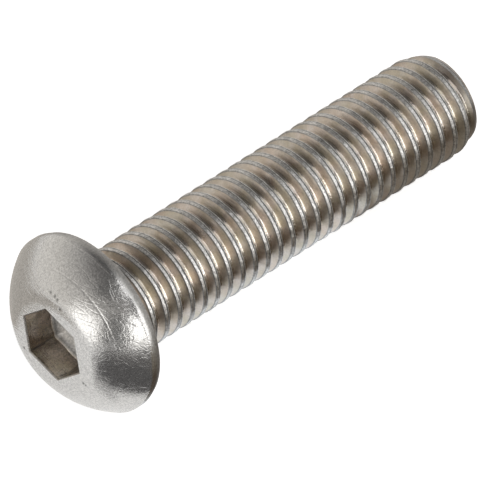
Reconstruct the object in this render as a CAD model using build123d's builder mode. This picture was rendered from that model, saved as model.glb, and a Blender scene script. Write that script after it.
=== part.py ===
from build123d import *
from math import atan, ceil, cos, floor, hypot, radians, sin, tan
import os

# Button head screw, M8 x 1.25 x 35, with a hexagon socket and a right-hand thread that runs up to the head.
# It lies on a flat surface, on its rim and its last full crest.
# Millimetres. The origin is the middle of the bearing face, the flat underside of the head.
# +X runs along the screw towards its point and +Z is up.

# Head
head_diameter = 14.0
head_height = 4.0
rim_height = 0.85  # straight side, from the bearing face to the dome
crown_diameter = 7.6  # flat around the socket
crown_edge_round = 2.0
bearing_edge_inset = 0.16  # the broken edge of the bearing face, across
bearing_edge_height = 0.4  # and along the rim
neck_diameter = 8.8  # inner edge of the bearing face
neck_length = 0.6  # from the bearing face down to the thread's root

# Hexagon socket for a 5 mm key
socket_width = 5.05  # across flats
socket_depth = 2.5
socket_mouth_break = 0.1
socket_floor_break = 0.15
socket_turn = 1.6  # degrees about the axis

# Thread
shank_length = 35.0
thread_pitch = 1.25
thread_diameter = 7.9  # over the crests
root_diameter = 6.6
crest_width = 0.2
flank_angle = 30.0  # degrees, between each flank and a plane square to the axis
thread_start = 0.85  # where the ridge ends inside the head, above the bearing face
ridge_sink = 0.15  # how deep the ridge's foot reaches into the core

# Point
point_diameter = 6.9
point_length = 1.4

# Rest
low_side = 45.0  # degrees about the axis, from the seam of the turned faces to the side that faces down

head_radius = head_diameter / 2
crown_radius = crown_diameter / 2
neck_radius = neck_diameter / 2
thread_radius = thread_diameter / 2
root_radius = root_diameter / 2
point_radius = point_diameter / 2

# The dome is part of a ball, centred on the axis, that passes through the rim's top and the crown's edge.
dome_height = head_height - rim_height
dome_centre = (head_height + rim_height) / 2 - (head_radius**2 - crown_radius**2) / (2 * dome_height)
dome_radius = hypot(head_radius, rim_height - dome_centre)

# The pieces of the screw are made upright, head up, with the axis on Z and the bearing face at Z = 0.

# Head: a tapered neck, a straight rim, a shallow dome and a flat crown, with the socket sunk in it
with BuildPart() as head:
    with BuildSketch(Plane.XZ):
        with BuildLine():
            Polyline(
                (0, head_height),
                (0, -neck_length),
                (root_radius, -neck_length),
                (neck_radius, 0),
                (head_radius - bearing_edge_inset, 0),
                (head_radius, bearing_edge_height),
                (head_radius, rim_height),
            )
            RadiusArc((head_radius, rim_height), (crown_radius, head_height), -dome_radius)
            Line((crown_radius, head_height), (0, head_height))
        make_face()
    revolve(axis=Axis.Z)
    crown_edge = head.edges().filter_by(GeomType.CIRCLE).group_by(Axis.Z)[-1]
    fillet(crown_edge, crown_edge_round)

    with BuildSketch(Plane.XY.offset(head_height)):
        RegularPolygon(socket_width / 2, 6, major_radius=False, rotation=socket_turn)
    extrude(amount=-socket_depth, mode=Mode.SUBTRACT)
    socket_floor, crown = head.faces().filter_by(Plane.XY).sort_by(Axis.Z)[-2:]
    chamfer(crown.edges().filter_by(GeomType.LINE), socket_mouth_break)
    chamfer(socket_floor.edges(), socket_floor_break)

# Ridge: one turn of the thread, its foot sunk into the core
foot_radius = root_radius - ridge_sink
foot_width = crest_width + 2 * (thread_radius - foot_radius) * tan(radians(flank_angle))
with BuildPart() as ridge:
    with BuildLine():
        Helix(thread_pitch, thread_pitch, root_radius)
    with BuildSketch(Plane(origin=(0, 0, 0), x_dir=(1, 0, 0), z_dir=(0, -1, 0))):
        with BuildLine():
            Polyline(
                (foot_radius, -foot_width / 2),
                (thread_radius, -crest_width / 2),
                (thread_radius, crest_width / 2),
                (foot_radius, foot_width / 2),
                close=True,
            )
        make_face()
    sweep(is_frenet=True)

# Shank: a core with the ridge wound round it, and a turned point
with BuildPart() as shank:
    # The core reaches up into the head, and stays a pitch too long until the point is cut.
    with BuildSketch(Plane.XY.offset(thread_start)):
        Circle(root_radius)
    extrude(amount=-thread_start - shank_length - thread_pitch)

    # The ridge runs from past the point up into the head, each turn on top of the one before.
    turns = ceil((thread_start + shank_length) / thread_pitch) + 1
    with Locations([(0, 0, thread_start - turn * thread_pitch) for turn in range(1, turns + 1)]):
        add(ridge.part)

    # Everything past the end face and outside the point's cone is turned away.
    waste_radius = thread_radius + thread_pitch
    waste_length = shank_length + 3 * thread_pitch
    cone_slope = point_length / (thread_radius - point_radius)
    with BuildSketch(Plane.XZ):
        with BuildLine():
            Polyline(
                (0, -shank_length),
                (point_radius, -shank_length),
                (waste_radius, (waste_radius - point_radius) * cone_slope - shank_length),
                (waste_radius, -waste_length),
                (0, -waste_length),
                close=True,
            )
        make_face()
    revolve(axis=Axis.Z, mode=Mode.SUBTRACT)

# Rest: from where each turn of the ridge starts, its crest climbs for low_side degrees to face straight down.
# The last such crest that the point leaves whole carries one end, and the rim carries the other.
low_crest_start = thread_start - thread_pitch * (1 - low_side / 360)
whole_thread = shank_length - point_length - crest_width / 2
low_crests = floor((whole_thread + low_crest_start) / thread_pitch)
crest_contact = low_crests * thread_pitch - low_crest_start + crest_width / 2
dip = atan((head_radius - thread_radius) / (crest_contact + bearing_edge_height))
side = radians(low_side)
seam_dir = (-sin(dip) * cos(side), sin(side), -cos(dip) * cos(side))
lying = Plane(origin=(0, 0, 0), x_dir=seam_dir, z_dir=(-cos(dip), 0, sin(dip)))
with BuildPart(lying) as screw:
    add(shank.part)
    add(head.part)

screw.part.label = "screw"
os.makedirs("parts", exist_ok=True)
export_step(screw.part, "parts/screw.step")
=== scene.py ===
from math import atan2, cos, hypot, pi, radians, sin, sqrt, tan

import bpy
import bmesh
from mathutils import Matrix, Vector, noise


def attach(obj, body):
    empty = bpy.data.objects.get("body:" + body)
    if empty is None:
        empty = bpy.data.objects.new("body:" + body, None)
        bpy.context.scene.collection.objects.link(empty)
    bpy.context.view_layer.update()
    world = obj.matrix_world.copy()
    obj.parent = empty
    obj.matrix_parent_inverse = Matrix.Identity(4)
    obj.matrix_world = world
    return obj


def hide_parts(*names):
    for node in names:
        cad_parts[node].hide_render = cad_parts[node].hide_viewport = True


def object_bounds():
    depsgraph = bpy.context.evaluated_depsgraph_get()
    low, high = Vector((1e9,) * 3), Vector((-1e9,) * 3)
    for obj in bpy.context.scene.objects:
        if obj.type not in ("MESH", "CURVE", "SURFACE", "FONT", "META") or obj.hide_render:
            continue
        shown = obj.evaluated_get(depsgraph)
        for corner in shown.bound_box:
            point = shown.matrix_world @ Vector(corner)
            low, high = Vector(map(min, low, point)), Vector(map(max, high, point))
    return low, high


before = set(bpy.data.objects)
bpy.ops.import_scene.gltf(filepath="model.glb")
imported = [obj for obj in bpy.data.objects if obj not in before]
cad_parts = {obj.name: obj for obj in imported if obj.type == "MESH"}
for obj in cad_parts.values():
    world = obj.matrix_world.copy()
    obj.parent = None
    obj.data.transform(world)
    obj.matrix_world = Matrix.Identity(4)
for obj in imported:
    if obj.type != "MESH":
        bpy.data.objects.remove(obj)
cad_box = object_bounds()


# ------------------------------------------------------------------------------------------------------------
# Head
# The button head: cold-headed stainless steel, with a shallow dome, a flat crown, a straight rim and a
# punched hexagon socket. It is shaped upright, crown up, with its bearing face at Z = 0 and a socket corner
# on X, and is then turned about its axis.

MM = 0.001  # one millimetre in the scene's metres
TIGHT = 0.0001 * MM  # closer than this, two points are one
NEAR = 0.01 * MM  # closer than this, a point counts as lying on a line

HEAD_RADIUS = 7.0 * MM
HEAD_HEIGHT = 4.0 * MM
RIM_TOP = 0.85 * MM  # where the straight rim ends and the dome starts
RIM_FOOT = 0.4 * MM  # where the broken edge under the rim starts
RIM_EDGE = 0.12 * MM  # the round between rim and dome
BEARING_RINGS = (6.84 * MM, 6.0 * MM, 5.2 * MM, 4.4 * MM)  # from the rim's foot in to the neck
CROWN_RADIUS = 3.8 * MM
CROWN_ROUND = 2.0 * MM  # the round between crown and dome
CROWN_RINGS = 12
CROWN_INSET = 0.05 * MM
AROUND = 288  # points round the head, a multiple of six so that the socket's corners fall on points
DOME_RINGS = 192

SOCKET_APOTHEM = 2.525 * MM  # from the axis to a flat
SOCKET_DEPTH = 2.5 * MM
SOCKET_TURN = radians(46.6)  # of a corner about the axis
SOCKET_POINT_DEPTH = 0.8 * MM  # how far the floor sinks towards the axis
SOCKET_POINT_APOTHEM = 0.45 * MM  # the flat in the middle of the floor
MOUTH_BREAK = 0.1 * MM
MOUTH_BAND = 0.05 * MM  # the even wall just below the broken mouth
FLOOR_BREAK = 0.15 * MM
WALL_RINGS = 6
FLOOR_RINGS = 4
WAVE = 0.1 * MM  # how uneven the punch left the walls and the floor
WAVE_LENGTH = 0.7 * MM
WAVE_CORE = 0.5 * MM  # keeps the wave small on the axis

LINE_REACH = 5.57 * MM  # how far out on the dome the fine line runs
LINE_HALF = 0.06 * MM  # half its width
LINE_DEPTH = 0.014 * MM
LINE_SWING = 0.016 * MM  # how much its depth comes and goes
LINE_FADE = 1.2 * MM  # over what length it does

DOME_RISE = HEAD_HEIGHT - RIM_TOP
DOME_CENTRE = (HEAD_HEIGHT + RIM_TOP) / 2 - (HEAD_RADIUS**2 - CROWN_RADIUS**2) / (2 * DOME_RISE)
DOME_RADIUS = hypot(HEAD_RADIUS, RIM_TOP - DOME_CENTRE)
MOUTH_APOTHEM = SOCKET_APOTHEM + MOUTH_BREAK
SOCKET_REACH = SOCKET_APOTHEM * 2 / sqrt(3) + 2 * WAVE  # all of the socket lies within this of the axis


def start_piece(name, add_primitive, **sizes):
    """Deselects all, adds a primitive and names it."""
    bpy.ops.object.select_all(action="DESELECT")
    add_primitive(**sizes)
    piece = bpy.context.object
    piece.name = name
    piece.data.name = name
    bpy.ops.object.transform_apply(location=True, rotation=True, scale=True)
    return piece


def pick(piece, kind, test):
    """In edit mode, selects the vertices, edges or faces that pass the test, and nothing else."""
    bpy.ops.mesh.select_all(action="DESELECT")
    bpy.ops.mesh.select_mode(type=kind)
    mesh = bmesh.from_edit_mesh(piece.data)
    for item in {"VERT": mesh.verts, "EDGE": mesh.edges, "FACE": mesh.faces}[kind]:
        if test(item):
            item.select_set(True)
    mesh.select_flush_mode()
    bmesh.update_edit_mesh(piece.data)


def cut_level(height, **keeping):
    """In edit mode, cuts the whole mesh through at this height."""
    bpy.ops.mesh.select_all(action="SELECT")
    bpy.ops.mesh.bisect(plane_co=(0, 0, height), plane_no=(0, 0, 1), threshold=TIGHT, **keeping)


def draw_ring(rise, narrowing):
    """Extrudes the selected ring or face along the axis, and then narrows or widens it about the axis."""
    bpy.ops.mesh.extrude_region_move(TRANSFORM_OT_translate={"value": (0, 0, rise)})
    bpy.ops.transform.resize(value=(narrowing, narrowing, 1), center_override=(0, 0, 0))


def scale_reach(vertex, factor):
    """Moves a vertex towards or away from the axis."""
    vertex.co.x *= factor
    vertex.co.y *= factor


def hexagon_reach(angle):
    """How far a hexagon with a flat-to-centre distance of one reaches at an angle, with a corner at zero."""
    return 1 / cos((angle % (pi / 3)) - pi / 6)


head = start_piece("button_head_screw", bpy.ops.mesh.primitive_uv_sphere_add, segments=AROUND,
                   ring_count=DOME_RINGS, radius=DOME_RADIUS, location=(0, 0, DOME_CENTRE))
bpy.ops.object.mode_set(mode="EDIT")
cut_level(RIM_TOP, clear_inner=True)
cut_level(HEAD_HEIGHT, clear_outer=True, use_fill=True)

# Crown: rings inset one inside the other, and drawn step by step from the round to the hexagon of the socket
pick(head, "FACE", lambda face: len(face.verts) == AROUND)
for ring in range(CROWN_RINGS):
    bpy.ops.mesh.inset(thickness=CROWN_INSET, use_boundary=True)
bpy.ops.object.mode_set(mode="OBJECT")
for vertex in head.data.vertices:
    reach = hypot(vertex.co.x, vertex.co.y)
    if vertex.co.z > HEAD_HEIGHT - TIGHT:
        step = round((CROWN_RADIUS - reach) / CROWN_INSET) / CROWN_RINGS
        angle = atan2(vertex.co.y, vertex.co.x)
        wanted = CROWN_RADIUS * (1 - step) + MOUTH_APOTHEM * hexagon_reach(angle) * step
        scale_reach(vertex, wanted / reach)

# The edge between crown and dome is rounded: points near it move down on to a round that touches both.
round_reach = sqrt((DOME_RADIUS - CROWN_ROUND)**2 - (HEAD_HEIGHT - CROWN_ROUND - DOME_CENTRE)**2)
round_end = round_reach * DOME_RADIUS / (DOME_RADIUS - CROWN_ROUND)
for vertex in head.data.vertices:
    reach = hypot(vertex.co.x, vertex.co.y)
    if round_reach < reach < round_end:
        vertex.co.z = HEAD_HEIGHT - CROWN_ROUND + sqrt(CROWN_ROUND**2 - (reach - round_reach)**2)

# A fine line runs round the dome where the heading die was joined: three close rings, the middle one sunk.
bpy.ops.object.mode_set(mode="EDIT")
for reach in (LINE_REACH - LINE_HALF, LINE_REACH, LINE_REACH + LINE_HALF):
    cut_level(DOME_CENTRE + sqrt(DOME_RADIUS**2 - reach**2))
bpy.ops.object.mode_set(mode="OBJECT")
for vertex in head.data.vertices:
    if abs(hypot(vertex.co.x, vertex.co.y) - LINE_REACH) < NEAR:
        vertex.co.z -= LINE_DEPTH + LINE_SWING * noise.noise(vertex.co / LINE_FADE)

# Socket: the innermost face goes down past the broken mouth, along the walls and across the floor's broken
# edge, and the floor sinks in steps towards the axis.
bpy.ops.object.mode_set(mode="EDIT")
pick(head, "FACE", lambda face: len(face.verts) == AROUND)
draw_ring(-MOUTH_BREAK, SOCKET_APOTHEM / MOUTH_APOTHEM)
draw_ring(-MOUTH_BAND, 1)
wall_height = SOCKET_DEPTH - MOUTH_BREAK - MOUTH_BAND - FLOOR_BREAK
for ring in range(WALL_RINGS):
    draw_ring(-wall_height / WALL_RINGS, 1)
draw_ring(-FLOOR_BREAK, 1 - FLOOR_BREAK / SOCKET_APOTHEM)
floor_apothem = SOCKET_APOTHEM - FLOOR_BREAK
floor_step = (floor_apothem - SOCKET_POINT_APOTHEM) / FLOOR_RINGS
for ring in range(FLOOR_RINGS):
    draw_ring(-SOCKET_POINT_DEPTH / FLOOR_RINGS, 1 - floor_step / (floor_apothem - ring * floor_step))

# The punch dragged the steel, so below that band the walls and the floor are a little wavy.
bpy.ops.object.mode_set(mode="OBJECT")
for vertex in head.data.vertices:
    reach = hypot(vertex.co.x, vertex.co.y)
    if vertex.co.z < HEAD_HEIGHT - MOUTH_BREAK - MOUTH_BAND - NEAR and reach < SOCKET_REACH:
        scale_reach(vertex, 1 + WAVE / (WAVE_CORE + reach) * noise.noise(vertex.co / WAVE_LENGTH))

# Rim and bearing face: the dome's open edge is drawn down and then in, as far as the neck.
bpy.ops.object.mode_set(mode="EDIT")
pick(head, "EDGE", lambda edge: edge.is_boundary and all(abs(v.co.z - RIM_TOP) < NEAR for v in edge.verts))
draw_ring(-(RIM_TOP - RIM_FOOT), 1)
draw_ring(-RIM_FOOT, BEARING_RINGS[0] / HEAD_RADIUS)
for outer, inner in zip(BEARING_RINGS, BEARING_RINGS[1:]):
    draw_ring(0, inner / outer)
pick(head, "EDGE", lambda edge: all(
    abs(v.co.z - RIM_TOP) < TIGHT and abs(hypot(v.co.x, v.co.y) - HEAD_RADIUS) < TIGHT for v in edge.verts))
bpy.ops.mesh.bevel(offset=RIM_EDGE, segments=3, affect="EDGES")
bpy.ops.object.mode_set(mode="OBJECT")
head.rotation_euler = (0, 0, SOCKET_TURN)
bpy.ops.object.transform_apply(rotation=True)


# ------------------------------------------------------------------------------------------------------------
# Thread
# M8 x 1.25, right-hand, rolled and not cut: two dies pressed the valleys in, and the displaced steel rose
# on both sides of each crest and met in a fine seam. The profile of one pitch is drawn once and wound with a
# Screw modifier.

PITCH = 1.25 * MM
CREST_RADIUS = 3.95 * MM
ROOT_RADIUS = 3.4 * MM
THREAD_START = 0.69 * MM  # where the crest crosses X, above the bearing face
THREAD_TOP = -0.35 * MM
SHANK_LENGTH = 35.0 * MM
POINT_LENGTH = 1.4 * MM
POINT_RADIUS = 3.45 * MM
POINT_EASE = 0.08 * MM  # rounds the change from thread to cone
END_RINGS = (0.85, 0.5)  # each ring of the end face, as a share of the one outside it
SKIN_RADIUS = 0.9 * ROOT_RADIUS  # outside it lies the thread, inside it the middle of the end face
TURNS = 31
STEPS = 192  # points round one turn
# One pitch in millimetres, from the point's side to the head's: how far from the middle of the crest, and how
# deep below it. Root, flank, a raised lip, the seam, the flat crest, flank and root.
PROFILE = (
    (-0.625, 0.55), (-0.47, 0.525), (-0.235, 0.11), (-0.21, 0.05), (-0.18, 0.005), (-0.14, 0.0),
    (-0.09, 0.06), (-0.04, 0.0), (0.06, -0.005), (0.165, 0.015), (0.205, 0.06), (0.235, 0.11),
    (0.44, 0.465), (0.51, 0.535), (0.625, 0.55),
)
CREST_HALF = 0.22 * MM  # half the crest's width, with its lips
SEAM = -0.09 * MM
RAGGED = 0.03 * MM  # how far the crest and its seam wander
RAGGED_LENGTH = 0.4 * MM
RAGGED_DEPTH = 0.09 * MM  # how far below the crest that reaches


def soft_min(a, b, ease):
    """The smaller of two lengths, with a rounded change from one to the other."""
    return (a + b - sqrt((a - b)**2 + ease**2)) / 2


thread = start_piece("thread", bpy.ops.mesh.primitive_plane_add, size=PITCH, rotation=(pi / 2, 0, 0),
                     location=(CREST_RADIUS, 0, 0))
bpy.ops.object.mode_set(mode="EDIT")
pick(thread, "VERT", lambda vertex: vertex.co.x < CREST_RADIUS)
bpy.ops.mesh.delete(type="VERT")
bpy.ops.mesh.select_all(action="SELECT")
bpy.ops.mesh.subdivide(number_cuts=len(PROFILE) - 2)
bpy.ops.object.mode_set(mode="OBJECT")
first_crest = THREAD_START - TURNS * PITCH
for vertex in thread.data.vertices:
    offset, depth = PROFILE[round((vertex.co.z / PITCH + 0.5) * (len(PROFILE) - 1))]
    vertex.co = (CREST_RADIUS - depth * MM, 0, first_crest + offset * MM)
winding = thread.modifiers.new("winding", "SCREW")
winding.angle = 2 * pi
winding.screw_offset = PITCH
winding.iterations = TURNS + 1
winding.steps = STEPS
winding.render_steps = STEPS
bpy.ops.object.modifier_apply(modifier="winding")

bpy.ops.object.mode_set(mode="EDIT")
bpy.ops.mesh.select_all(action="SELECT")
bpy.ops.mesh.remove_doubles(threshold=10 * TIGHT)
cut_level(THREAD_TOP, clear_outer=True)
cut_level(-SHANK_LENGTH, clear_inner=True)

# The end face: the skin's lower edge is drawn in twice towards the axis, and what is left is filled.
pick(thread, "EDGE", lambda edge: edge.is_boundary and edge.verts[0].co.z < TIGHT - SHANK_LENGTH)
for share in END_RINGS:
    draw_ring(0, share)
bpy.ops.mesh.edge_face_add()
bpy.ops.object.mode_set(mode="OBJECT")

# The crest is as ragged as rolling leaves it.
for vertex in thread.data.vertices:
    reach = hypot(vertex.co.x, vertex.co.y)
    if reach > CREST_RADIUS - RAGGED_DEPTH:
        scale_reach(vertex, 1 + RAGGED / reach * noise.noise(vertex.co / RAGGED_LENGTH))

# Point: the blank was chamfered before rolling, so the last turns keep within a cone.
for vertex in thread.data.vertices:
    reach = hypot(vertex.co.x, vertex.co.y)
    past = (vertex.co.z + SHANK_LENGTH) / POINT_LENGTH
    limit = POINT_RADIUS + (CREST_RADIUS - POINT_RADIUS) * past
    if reach > SKIN_RADIUS:
        scale_reach(vertex, soft_min(reach, limit, POINT_EASE) / reach)


# ------------------------------------------------------------------------------------------------------------
# Screw
# Head and thread are one piece of steel: their skins are bridged at the neck, from ring to ring. Heading,
# rolling, punching and tumbling then left their own finish on each stretch of that skin.

bpy.ops.object.select_all(action="DESELECT")
thread.select_set(True)
head.select_set(True)
bpy.context.view_layer.objects.active = head
bpy.ops.object.join()
screw = head
bpy.ops.object.mode_set(mode="EDIT")
pick(screw, "EDGE", lambda edge: edge.is_boundary)
bpy.ops.mesh.bridge_edge_loops()
bpy.ops.mesh.select_all(action="SELECT")
bpy.ops.mesh.normals_make_consistent(inside=False)
bpy.ops.object.mode_set(mode="OBJECT")

# Each finish by the bronze-brown film it holds, its roughness, and how much the tumbling chips battered it
FINISHES = {
    "dome": (0, 0.21, 0.55),
    "rim": (0.1, 0.42, 0.6),
    "wall": (1, 0.24, 0.8),
    "floor": (0.1, 0.48, 0.8),
    "crest": (0.05, 0.38, 1),
    "flank": (1, 0.34, 0.35),
    "root": (0.85, 0.17, 0.2),
    "end": (0.15, 0.42, 0.7),
}
FLANK_REACH = ROOT_RADIUS + 0.03 * MM  # the root ends here
CREST_REACH = ROOT_RADIUS + 0.1 * MM  # a ridge that the point cuts lower than this has no crest
END_REACH = ROOT_RADIUS - 0.04 * MM  # the end face lies within this
RIM_LIMIT = RIM_TOP - 0.3 * RIM_EDGE  # the rim's finish ends here, on the round above it
# How dark each place is drawn, where one is the darkest: painted shade in the seam, on the crest's lip,
# along the socket's edges and corners, on the rim and on the point; random flecks on the crest; pit middles
SEAM_SHADE = 1
LIP_SHADE = 0.8
CREST_GRIME = 0.5
SOCKET_EDGE_SHADE = 0.8
RIM_SHADE = 0.4
POINT_SHADE = 0.45
PIT_DARKENING = 1.5  # more than one, so that the middle third of a pit is darkened fully
SHADE_LINE = 0.02 * MM  # half as wide as the painted shade in the seam and round the socket's edges
SHADE_CORNER = 0.03 * MM  # how far the painted shade reaches from the crest's lip and the socket's corners
GRIME_LENGTH = 0.5 * MM  # over what length the crest's dark flecks come and go
SHADED_POINT = 0.6 * POINT_LENGTH - SHANK_LENGTH  # below this the point is darkened all over with painted shade
# Small pits in the head, by where they are from its axis in millimetres
PITS = ((2.59, 2.19), (-3.48, 1.47), (-3.31, 1.38), (0.78, -4.3), (0.3, -4.28), (0.0, -4.2), (-0.47, -3.72))
PIT_RADIUS = 0.14 * MM
PIT_DEPTH = 0.05 * MM


def finish_at(reach, height, from_crest):
    """The name of the finish at a point of the skin."""
    if height < -TIGHT:
        if reach > CREST_REACH and abs(from_crest) < CREST_HALF:
            return "crest"
        if height < TIGHT - SHANK_LENGTH and reach < END_REACH:
            return "end"
        return "flank" if reach > FLANK_REACH else "root"
    if height < HEAD_HEIGHT - MOUTH_BREAK / 2 and reach < SOCKET_REACH:
        return "wall" if height > HEAD_HEIGHT - SOCKET_DEPTH + TIGHT else "floor"
    return "rim" if height < RIM_LIMIT else "dome"


def darkening_at(point, finish, from_crest):
    """Painted shade in the seam, on a lip, round the socket and on the rim; random flecks on the crest."""
    # On the crest: painted shade in the seam and along the lip, and random dark flecks between
    if finish == "crest":
        if abs(from_crest - SEAM) < SHADE_LINE:
            return SEAM_SHADE
        if from_crest > CREST_HALF - SHADE_CORNER:
            return LIP_SHADE
        return max(0, CREST_GRIME * noise.noise(point / GRIME_LENGTH))
    # Painted shade along the socket's mouth, its floor's edge and its corners
    if finish in ("wall", "floor"):
        depth = HEAD_HEIGHT - point.z
        from_edge = min(abs(depth - MOUTH_BREAK), abs(depth - SOCKET_DEPTH))
        from_corner = abs(hypot(point.x, point.y) * cos(pi / 6) - SOCKET_APOTHEM)
        return SOCKET_EDGE_SHADE if from_edge < SHADE_LINE or from_corner < SHADE_CORNER else 0
    # Painted shade over the whole rim
    return RIM_SHADE if finish == "rim" else 0


# What the making left at each point of the skin, and its painted shade, for the steel's finish to read
finish_and_shade = {"film": [], "dullness": [], "battering": [], "shade_and_flecks": []}
for vertex in screw.data.vertices:
    height = vertex.co.z
    turned = (height - THREAD_START) / PITCH - atan2(vertex.co.y, vertex.co.x) / (2 * pi)
    from_crest = ((turned + 0.5) % 1 - 0.5) * PITCH
    finish = finish_at(hypot(vertex.co.x, vertex.co.y), height, from_crest)
    darkening = darkening_at(vertex.co, finish, from_crest)
    # Painted shade all over the point
    if height < SHADED_POINT:
        darkening = max(darkening, POINT_SHADE)
    # The pits are sunk, and their middles are darkened
    if height > RIM_TOP:
        for x, y in PITS:
            closeness = 1 - hypot(vertex.co.x - x * MM, vertex.co.y - y * MM) / PIT_RADIUS
            if closeness > 0:
                vertex.co.z -= PIT_DEPTH * closeness
                darkening = min(1, PIT_DARKENING * closeness)
    for values, value in zip(finish_and_shade.values(), (*FINISHES[finish], darkening)):
        values.append(value)
for name, values in finish_and_shade.items():
    screw.data.attributes.new(name, "FLOAT", "POINT").data.foreach_set("value", values)

# The screw lies on its rim and on a crest near its point, so its axis dips towards the point.
DIP = radians(5.242)
SHARP = radians(35)  # edges sharper than this stay crisp
across = Vector((0, 1, 0))
low = Vector((-sin(DIP), 0, -cos(DIP)))
towards_head = Vector((-cos(DIP), 0, sin(DIP)))
screw.matrix_world = Matrix((across, low, towards_head)).transposed().to_4x4()
bpy.ops.object.transform_apply(location=True, rotation=True, scale=True)
bpy.ops.object.shade_smooth_by_angle(angle=SHARP)


def linear(shade):
    """The linear colour of an sRGB hex value."""
    channels = [int(shade[i:i + 2], 16) / 255 for i in (0, 2, 4)]
    return (*(c / 12.92 if c <= 0.04045 else ((c + 0.055) / 1.055)**2.4 for c in channels), 1)


def add_node(owner, kind, settings=None, inputs=None):
    """Adds a node to a material or world, with its settings, and its inputs set or linked."""
    node = owner.node_tree.nodes.new(kind)
    for name, value in (settings or {}).items():
        setattr(node, name, value)
    for socket, value in (inputs or {}).items():
        if isinstance(value, bpy.types.NodeSocket):
            owner.node_tree.links.new(value, node.inputs[socket])
        else:
            node.inputs[socket].default_value = value
    return node


# A2 stainless steel, cold-formed and then tumbled with ceramic chips: a satin grey, speckled by the chips
# and most of all on the crests, crossed by fine scratches, with painted shade in its seams, round the socket
# and on the rim and point, and a patchy bronze-brown film in the thread and the socket. The speckle is drawn
# about three times as coarse as it is, because finer would not show.
POLISHED = "C8C7C5"
TUMBLED_SHARE = 0.97  # of the polished steel's brightness
FILMS = ("B9A694", "B4A995")  # rosy brown where the film is thin, and olive where it is thick
FILM_SHARES = (0.55, 1.1)  # how much film is left in the thin patches and in the full ones
PATCH = 0.9 * MM
SPECKLE = 0.13 * MM
SPECKLE_CONTRAST = 0.36
# how far the painted shade and the flecks darken the steel at most
SHADE_AND_FLECK_DARKNESS = 0.8
CLOUD = 1.8 * MM
CLOUD_SHARES = (0.8, 1.2)  # the roughness in the shiny clouds and in the dull ones
SCRATCH_SPACING = 0.8 * MM
SCRATCH_TURNS = (25, 80, 140)  # degrees about the screw's axis
SCRATCH_DRAW = 0.04  # draws the noise out into strands along the scratches
SCRATCH_CONTOUR = 0.5  # the scratches follow this value of the noise
SCRATCH_HALF = 0.025  # and reach this far to each side of it
SCRATCH_DEPTH = 0.22  # as a share of the relief
RELIEF = 0.02 * MM
FILM_ROUGHNESS = 0.3
FILM_IOR = 1.8
NOISE_SPAN = {"From Min": 0.3, "From Max": 0.7}  # nearly all of a noise's values lie between these
OLIVE_SPAN = {"From Min": 0.4, "From Max": 0.6}  # from rosy brown to olive, by the clouds
MIX_A, MIX_B, MIX_RESULT = 6, 7, 2  # the colour sockets of a Mix node

steel = bpy.data.materials.new("tumbled_stainless_steel")
steel.use_nodes = True
skin = steel.node_tree.nodes["Principled BSDF"]
skin.inputs["Metallic"].default_value = 1
place = add_node(steel, "ShaderNodeTexCoord").outputs["Object"]
speckle, patch, cloud = (
    add_node(steel, "ShaderNodeTexNoise", {}, {"Vector": place, "Scale": 1 / size, "Detail": detail})
    for size, detail in ((SPECKLE, 2), (PATCH, 4), (CLOUD, 3)))
# The fourth attribute holds the painted shade and the crest's flecks
film, dullness, battering, shade_and_flecks = (
    add_node(steel, "ShaderNodeAttribute", {"attribute_name": name}) for name in finish_and_shade)

# Colour: the film comes and goes in patches, the speckle darkens and lightens what was battered, and the
# painted shade darkens the seams, the socket's edges, the rim and the point, as flecks darken the crest.
patchy = add_node(steel, "ShaderNodeMapRange", {}, {
    "Value": patch.outputs["Fac"], **NOISE_SPAN, "To Min": FILM_SHARES[0], "To Max": FILM_SHARES[1]})
film_here = add_node(steel, "ShaderNodeMath", {"operation": "MULTIPLY"}, {
    0: film.outputs["Fac"], 1: patchy.outputs["Result"]})
thickness = add_node(steel, "ShaderNodeMapRange", {}, {"Value": cloud.outputs["Fac"], **OLIVE_SPAN})
film_tone = add_node(steel, "ShaderNodeMix", {"data_type": "RGBA"}, {
    "Factor": thickness.outputs["Result"], MIX_A: linear(FILMS[0]), MIX_B: linear(FILMS[1])})
tone = add_node(steel, "ShaderNodeMix", {"data_type": "RGBA"}, {
    "Factor": film_here.outputs[0], MIX_A: linear(POLISHED), MIX_B: film_tone.outputs[MIX_RESULT]})
spread = add_node(steel, "ShaderNodeMapRange", {"clamp": False}, {
    "Value": speckle.outputs["Fac"], **NOISE_SPAN, "To Min": -SPECKLE_CONTRAST, "To Max": SPECKLE_CONTRAST})
uneven = add_node(steel, "ShaderNodeMath", {"operation": "MULTIPLY_ADD"}, {
    0: spread.outputs["Result"], 1: battering.outputs["Fac"], 2: TUMBLED_SHARE})
# The painted shade and the flecks darken the colour
free_of_shade_and_flecks = add_node(steel, "ShaderNodeMath", {"operation": "MULTIPLY_ADD"}, {
    0: shade_and_flecks.outputs["Fac"], 1: -SHADE_AND_FLECK_DARKNESS, 2: 1})
bright = add_node(steel, "ShaderNodeMath", {"operation": "MULTIPLY"}, {
    0: uneven.outputs[0], 1: free_of_shade_and_flecks.outputs[0]})
speckled = add_node(steel, "ShaderNodeVectorMath", {"operation": "SCALE"}, {
    0: tone.outputs[MIX_RESULT], "Scale": bright.outputs[0]})
steel.node_tree.links.new(speckled.outputs[0], skin.inputs["Base Color"])

# Gloss: the chips left some clouds of the surface duller than others.
clouded = add_node(steel, "ShaderNodeMapRange", {}, {
    "Value": cloud.outputs["Fac"], **NOISE_SPAN, "To Min": CLOUD_SHARES[0], "To Max": CLOUD_SHARES[1]})
satin = add_node(steel, "ShaderNodeMath", {"operation": "MULTIPLY"}, {
    0: dullness.outputs["Fac"], 1: clouded.outputs["Result"]})
steel.node_tree.links.new(satin.outputs[0], skin.inputs["Roughness"])

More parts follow.
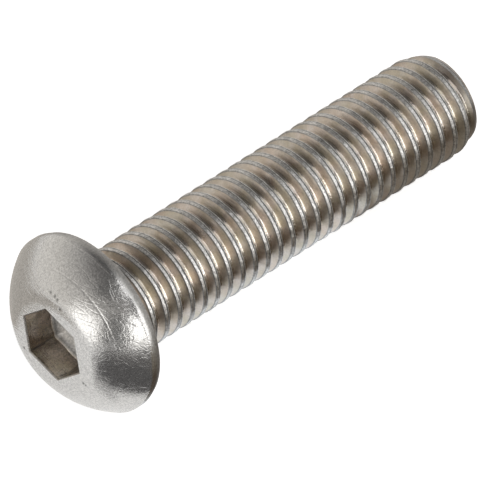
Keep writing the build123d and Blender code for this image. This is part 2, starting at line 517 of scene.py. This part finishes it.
# Relief: dents the size of the speckle, and scratches along the contours of a noise drawn out into strands
relief = add_node(steel, "ShaderNodeMath", {"operation": "MULTIPLY"}, {
    0: speckle.outputs["Fac"], 1: battering.outputs["Fac"]})
for turn in SCRATCH_TURNS:
    laid = add_node(steel, "ShaderNodeMapping", {}, {
        "Vector": place, "Rotation": (radians(turn), 0, 0), "Scale": (1, SCRATCH_DRAW, 1)})
    strands = add_node(steel, "ShaderNodeTexNoise", {}, {
        "Vector": laid.outputs[0], "Scale": 1 / SCRATCH_SPACING, "Detail": 0})
    beside = add_node(steel, "ShaderNodeMath", {"operation": "SUBTRACT"}, {
        0: strands.outputs["Fac"], 1: SCRATCH_CONTOUR})
    distance = add_node(steel, "ShaderNodeMath", {"operation": "ABSOLUTE"}, {0: beside.outputs[0]})
    scratch = add_node(steel, "ShaderNodeMapRange", {}, {
        "Value": distance.outputs[0], "From Max": SCRATCH_HALF, "To Min": -SCRATCH_DEPTH, "To Max": 0})
    relief = add_node(steel, "ShaderNodeMath", {"operation": "ADD"}, {
        0: relief.outputs[0], 1: scratch.outputs["Result"]})
dented = add_node(steel, "ShaderNodeBump", {}, {"Height": relief.outputs[0], "Distance": RELIEF})
steel.node_tree.links.new(dented.outputs[0], skin.inputs["Normal"])

# The film is a thin clear oxide: towards grazing it shines like varnish, with no colour of its own.
steel.node_tree.links.new(film.outputs["Fac"], skin.inputs["Coat Weight"])
skin.inputs["Coat Roughness"].default_value = FILM_ROUGHNESS
skin.inputs["Coat IOR"].default_value = FILM_IOR
screw.data.materials.clear()
screw.data.materials.append(steel)

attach(screw, "root")
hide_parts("screw")


# ------------------------------------------------------------------------------------------------------------
# Studio
# The screw lies on a white card in a light tent whose cloth is darker overhead. Five soft boxes light it, and
# flags of grey, brown and white flock, which only the steel sees, give the metal its dark and pale bands.

WHITE_CARD = "F4F4F4"
CARD_SIZE = 2  # metres
CARD_ROUGHNESS = 0.9
CARD_GLOW = 0.72  # the card is lit from below, too little to light the screw
METAL_GLOW = 0.7  # the share of that glow which the steel shows
# Each box by the direction it stands in, in degrees, its size as an angle in degrees, and how bright it is
BOXES = {
    "box_left": {"azimuth": -175, "elevation": 8, "width": 30, "height": 34, "radiance": 1.35},
    "box_right": {"azimuth": -113, "elevation": 17, "width": 27, "height": 28, "radiance": 1.65},
    "box_side": {"azimuth": -67, "elevation": 14, "width": 30, "height": 38, "radiance": 2.5},
    "box_high": {"azimuth": -86, "elevation": 63, "width": 54, "height": 20, "radiance": 1.3},
    "box_top": {"azimuth": -38, "elevation": 42, "width": 44, "height": 26, "radiance": 1.0},
}
BOX_DISTANCE = 0.4  # metres
# Flags that lie on the card round the screw: shade, brightness and corners on the card in millimetres
FLAGS = {
    "flag_thread": ("5C5246", 1, ((0, -6.2), (24, -6.2), (24, -16), (0, -16))),
    "flag_thread_middle": ("7C7467", 1, ((-3, -16), (60, -16), (60, -32), (-3, -32))),
    "flag_thread_far": ("8E877C", 1, ((-3, -32), (60, -32), (100, -100), (-3, -100))),
    "flag_end": ("61574A", 1, ((24, -6.2), (60, -6.2), (60, -16), (24, -16))),
    "flag_end_near": ("908B84", 1, ((22, 0), (60, 0), (60, -6.2), (22, -6.2))),
    "flag_head": ("666565", 1, (
        (0, -9.2), (-6, -7.4), (-14, -7.4), (-19, -10), (-43, -24), (-3, -24), (-3, -16), (0, -16))),
    "flag_head_edge": ("D2D1D0", 1, (
        (-3, -5.5), (-20, -4), (-27, -6), (-40, -14), (-62, -30), (-61, -36), (-43, -24), (-19, -10),
        (-14, -7.4), (-6, -7.4))),
    "flag_head_middle": ("787675", 1, ((-3, -24), (-43, -24), (-61, -36), (-3, -36))),
    "flag_head_far": ("8C8A88", 1, ((-3, -36), (-61, -36), (-100, -56), (-3, -56))),
    "flag_head_end": ("A5A3A1", 1, ((-3, -56), (-100, -56), (-150, -90), (-3, -90))),
    "flag_shank": ("F3F8FD", 1.25, ((0, -1.5), (22, -1.5), (22, -6.2), (0, -6.2))),
    "flag_back": ("C8C3BC", 1, ((-60, 9), (60, 9), (60, 80), (-60, 80))),
}
FLAG_LIFT = 0.2 * MM  # above the card
# Flags that hang in the air, one between the two boxes beside the lens and one high above it: shade, the
# azimuths of their sides and the elevations of their edges, in degrees
HANGING_FLAGS = {
    "flag_gap": ("757473", (-155, -128), (-2, 30)),
    "flag_high": ("6B6A69", (-178, -141), (46, 64)),
}
HANGING_DISTANCE = 0.9 * BOX_DISTANCE  # just inside the boxes
TENT_TOP = (radians(-50), radians(72))  # azimuth and elevation of the middle of the dark cloth
# How near to that direction, from zero for straight away from it to one, and the cloth's shade there
TENT_TONES = (
    (0.35, "FAF6F0"), (0.45, "FAF7F2"), (0.55, "F0ECE6"),
    (0.62, "DFDCD7"), (0.70, "CECBC7"), (0.77, "B6B4B1"),
    (0.85, "827F7E"), (0.90, "666564"), (1.00, "605F5E"),
)


def direction(azimuth, elevation):
    """The direction of a compass angle from +X and a height above the floor, both in radians."""
    return Vector((cos(elevation) * cos(azimuth), cos(elevation) * sin(azimuth), sin(elevation)))


def make_flag(name, shade, strength, corners):
    """Makes a flag with these corners that only the steel sees."""
    cloth = start_piece(name, bpy.ops.mesh.primitive_circle_add, vertices=len(corners), radius=1,
                        fill_type="NGON")
    for vertex, corner in zip(cloth.data.vertices, corners):
        vertex.co = corner
    flock = bpy.data.materials.new(name + "_flock")
    flock.use_nodes = True
    surface = flock.node_tree.nodes["Principled BSDF"]
    surface.inputs["Base Color"].default_value = (0, 0, 0, 1)
    surface.inputs["Specular IOR Level"].default_value = 0
    surface.inputs["Emission Color"].default_value = linear(shade)
    surface.inputs["Emission Strength"].default_value = strength
    cloth.data.materials.append(flock)
    cloth.visible_camera = False
    cloth.visible_shadow = False
    cloth.visible_diffuse = False


floor_level = cad_box[0][2]  # the lowest point of the screw
floor = start_piece("floor", bpy.ops.mesh.primitive_plane_add, size=CARD_SIZE, location=(0, 0, floor_level))
card = bpy.data.materials.new("white_card")
card.use_nodes = True
paper = card.node_tree.nodes["Principled BSDF"]
paper.inputs["Base Color"].default_value = linear(WHITE_CARD)
paper.inputs["Roughness"].default_value = CARD_ROUGHNESS
paper.inputs["Emission Color"].default_value = linear(WHITE_CARD)
rays = add_node(card, "ShaderNodeLightPath")
metal_or_glass = add_node(card, "ShaderNodeMath", {"operation": "MAXIMUM"}, {
    0: rays.outputs["Is Glossy Ray"], 1: rays.outputs["Is Transmission Ray"]})
seen = add_node(card, "ShaderNodeMath", {"operation": "MULTIPLY_ADD"}, {
    0: metal_or_glass.outputs[0], 1: METAL_GLOW, 2: rays.outputs["Is Camera Ray"]})
card_glow = add_node(card, "ShaderNodeMath", {"operation": "MULTIPLY"}, {0: seen.outputs[0], 1: CARD_GLOW})
card.node_tree.links.new(card_glow.outputs[0], paper.inputs["Emission Strength"])
floor.data.materials.append(card)

for name, (shade, strength, corners) in FLAGS.items():
    make_flag(name, shade, strength, [(x * MM, y * MM, floor_level + FLAG_LIFT) for x, y in corners])
for name, (shade, sides, heights) in HANGING_FLAGS.items():
    make_flag(name, shade, 1, [
        direction(radians(sides[i]), radians(heights[j])) * HANGING_DISTANCE
        for i, j in ((0, 0), (1, 0), (1, 1), (0, 1))])

tent = bpy.data.worlds.new("tent")
bpy.context.scene.world = tent
tent.use_nodes = True
ray = add_node(tent, "ShaderNodeTexCoord")
towards_top = add_node(tent, "ShaderNodeVectorMath", {"operation": "DOT_PRODUCT"}, {
    0: ray.outputs["Generated"], 1: direction(*TENT_TOP)})
nearness = add_node(tent, "ShaderNodeMapRange", {}, {
    "Value": towards_top.outputs["Value"], "From Min": -1, "From Max": 1})
cloth_tone = add_node(tent, "ShaderNodeValToRGB", {}, {0: nearness.outputs["Result"]})
while len(cloth_tone.color_ramp.elements) < len(TENT_TONES):
    cloth_tone.color_ramp.elements.new(0.5)
for stop, (position, shade) in zip(cloth_tone.color_ramp.elements, TENT_TONES):
    stop.position = position
    stop.color = linear(shade)
tent.node_tree.links.new(cloth_tone.outputs["Color"], tent.node_tree.nodes["Background"].inputs["Color"])

for name, box in BOXES.items():
    lamp_data = bpy.data.lights.new(name, "AREA")
    lamp_data.shape = "RECTANGLE"
    lamp_data.size = 2 * BOX_DISTANCE * tan(radians(box["width"]) / 2)
    lamp_data.size_y = 2 * BOX_DISTANCE * tan(radians(box["height"]) / 2)
    lamp_data.energy = box["radiance"] * pi * lamp_data.size * lamp_data.size_y
    lamp = bpy.data.objects.new(name, lamp_data)
    bpy.context.scene.collection.objects.link(lamp)
    towards = direction(radians(box["azimuth"]), radians(box["elevation"]))
    lamp.location = towards * BOX_DISTANCE
    lamp.rotation_euler = towards.to_track_quat("Z", "Y").to_euler()


# ------------------------------------------------------------------------------------------------------------
# Camera
# It looks down from the head's end, half along the screw and half across it. It is far enough away for the
# thread to keep its width from end to end, and no farther, so that the lens suits views from the side too.

VIEW_AZIMUTH = radians(45.55)
VIEW_DROP = radians(47.1)
FRAME = 500  # pixels across and down
PIXEL = 1 / 14.2 * MM  # the width of one, on the screw
ORIGIN_PIXEL = (92.0, 319.0)  # where the middle of the bearing face comes
DISTANCE = 1.3  # metres
SENSOR = 24  # millimetres

forward = direction(VIEW_AZIMUTH, -VIEW_DROP)
right = Vector((sin(VIEW_AZIMUTH), -cos(VIEW_AZIMUTH), 0))
up = right.cross(forward)
centre = (FRAME / 2 - ORIGIN_PIXEL[0]) * PIXEL * right + (ORIGIN_PIXEL[1] - FRAME / 2) * PIXEL * up
camera_data = bpy.data.cameras.new("camera")
camera_data.sensor_width = SENSOR
camera_data.lens = SENSOR * DISTANCE / (FRAME * PIXEL)
camera = bpy.data.objects.new("camera", camera_data)
bpy.context.scene.collection.objects.link(camera)
turn = Matrix((right, up, -forward)).transposed().to_4x4()
camera.matrix_world = Matrix.Translation(centre - forward * DISTANCE) @ turn
bpy.context.scene.camera = camera

bpy.context.scene.view_settings.view_transform = "Standard"
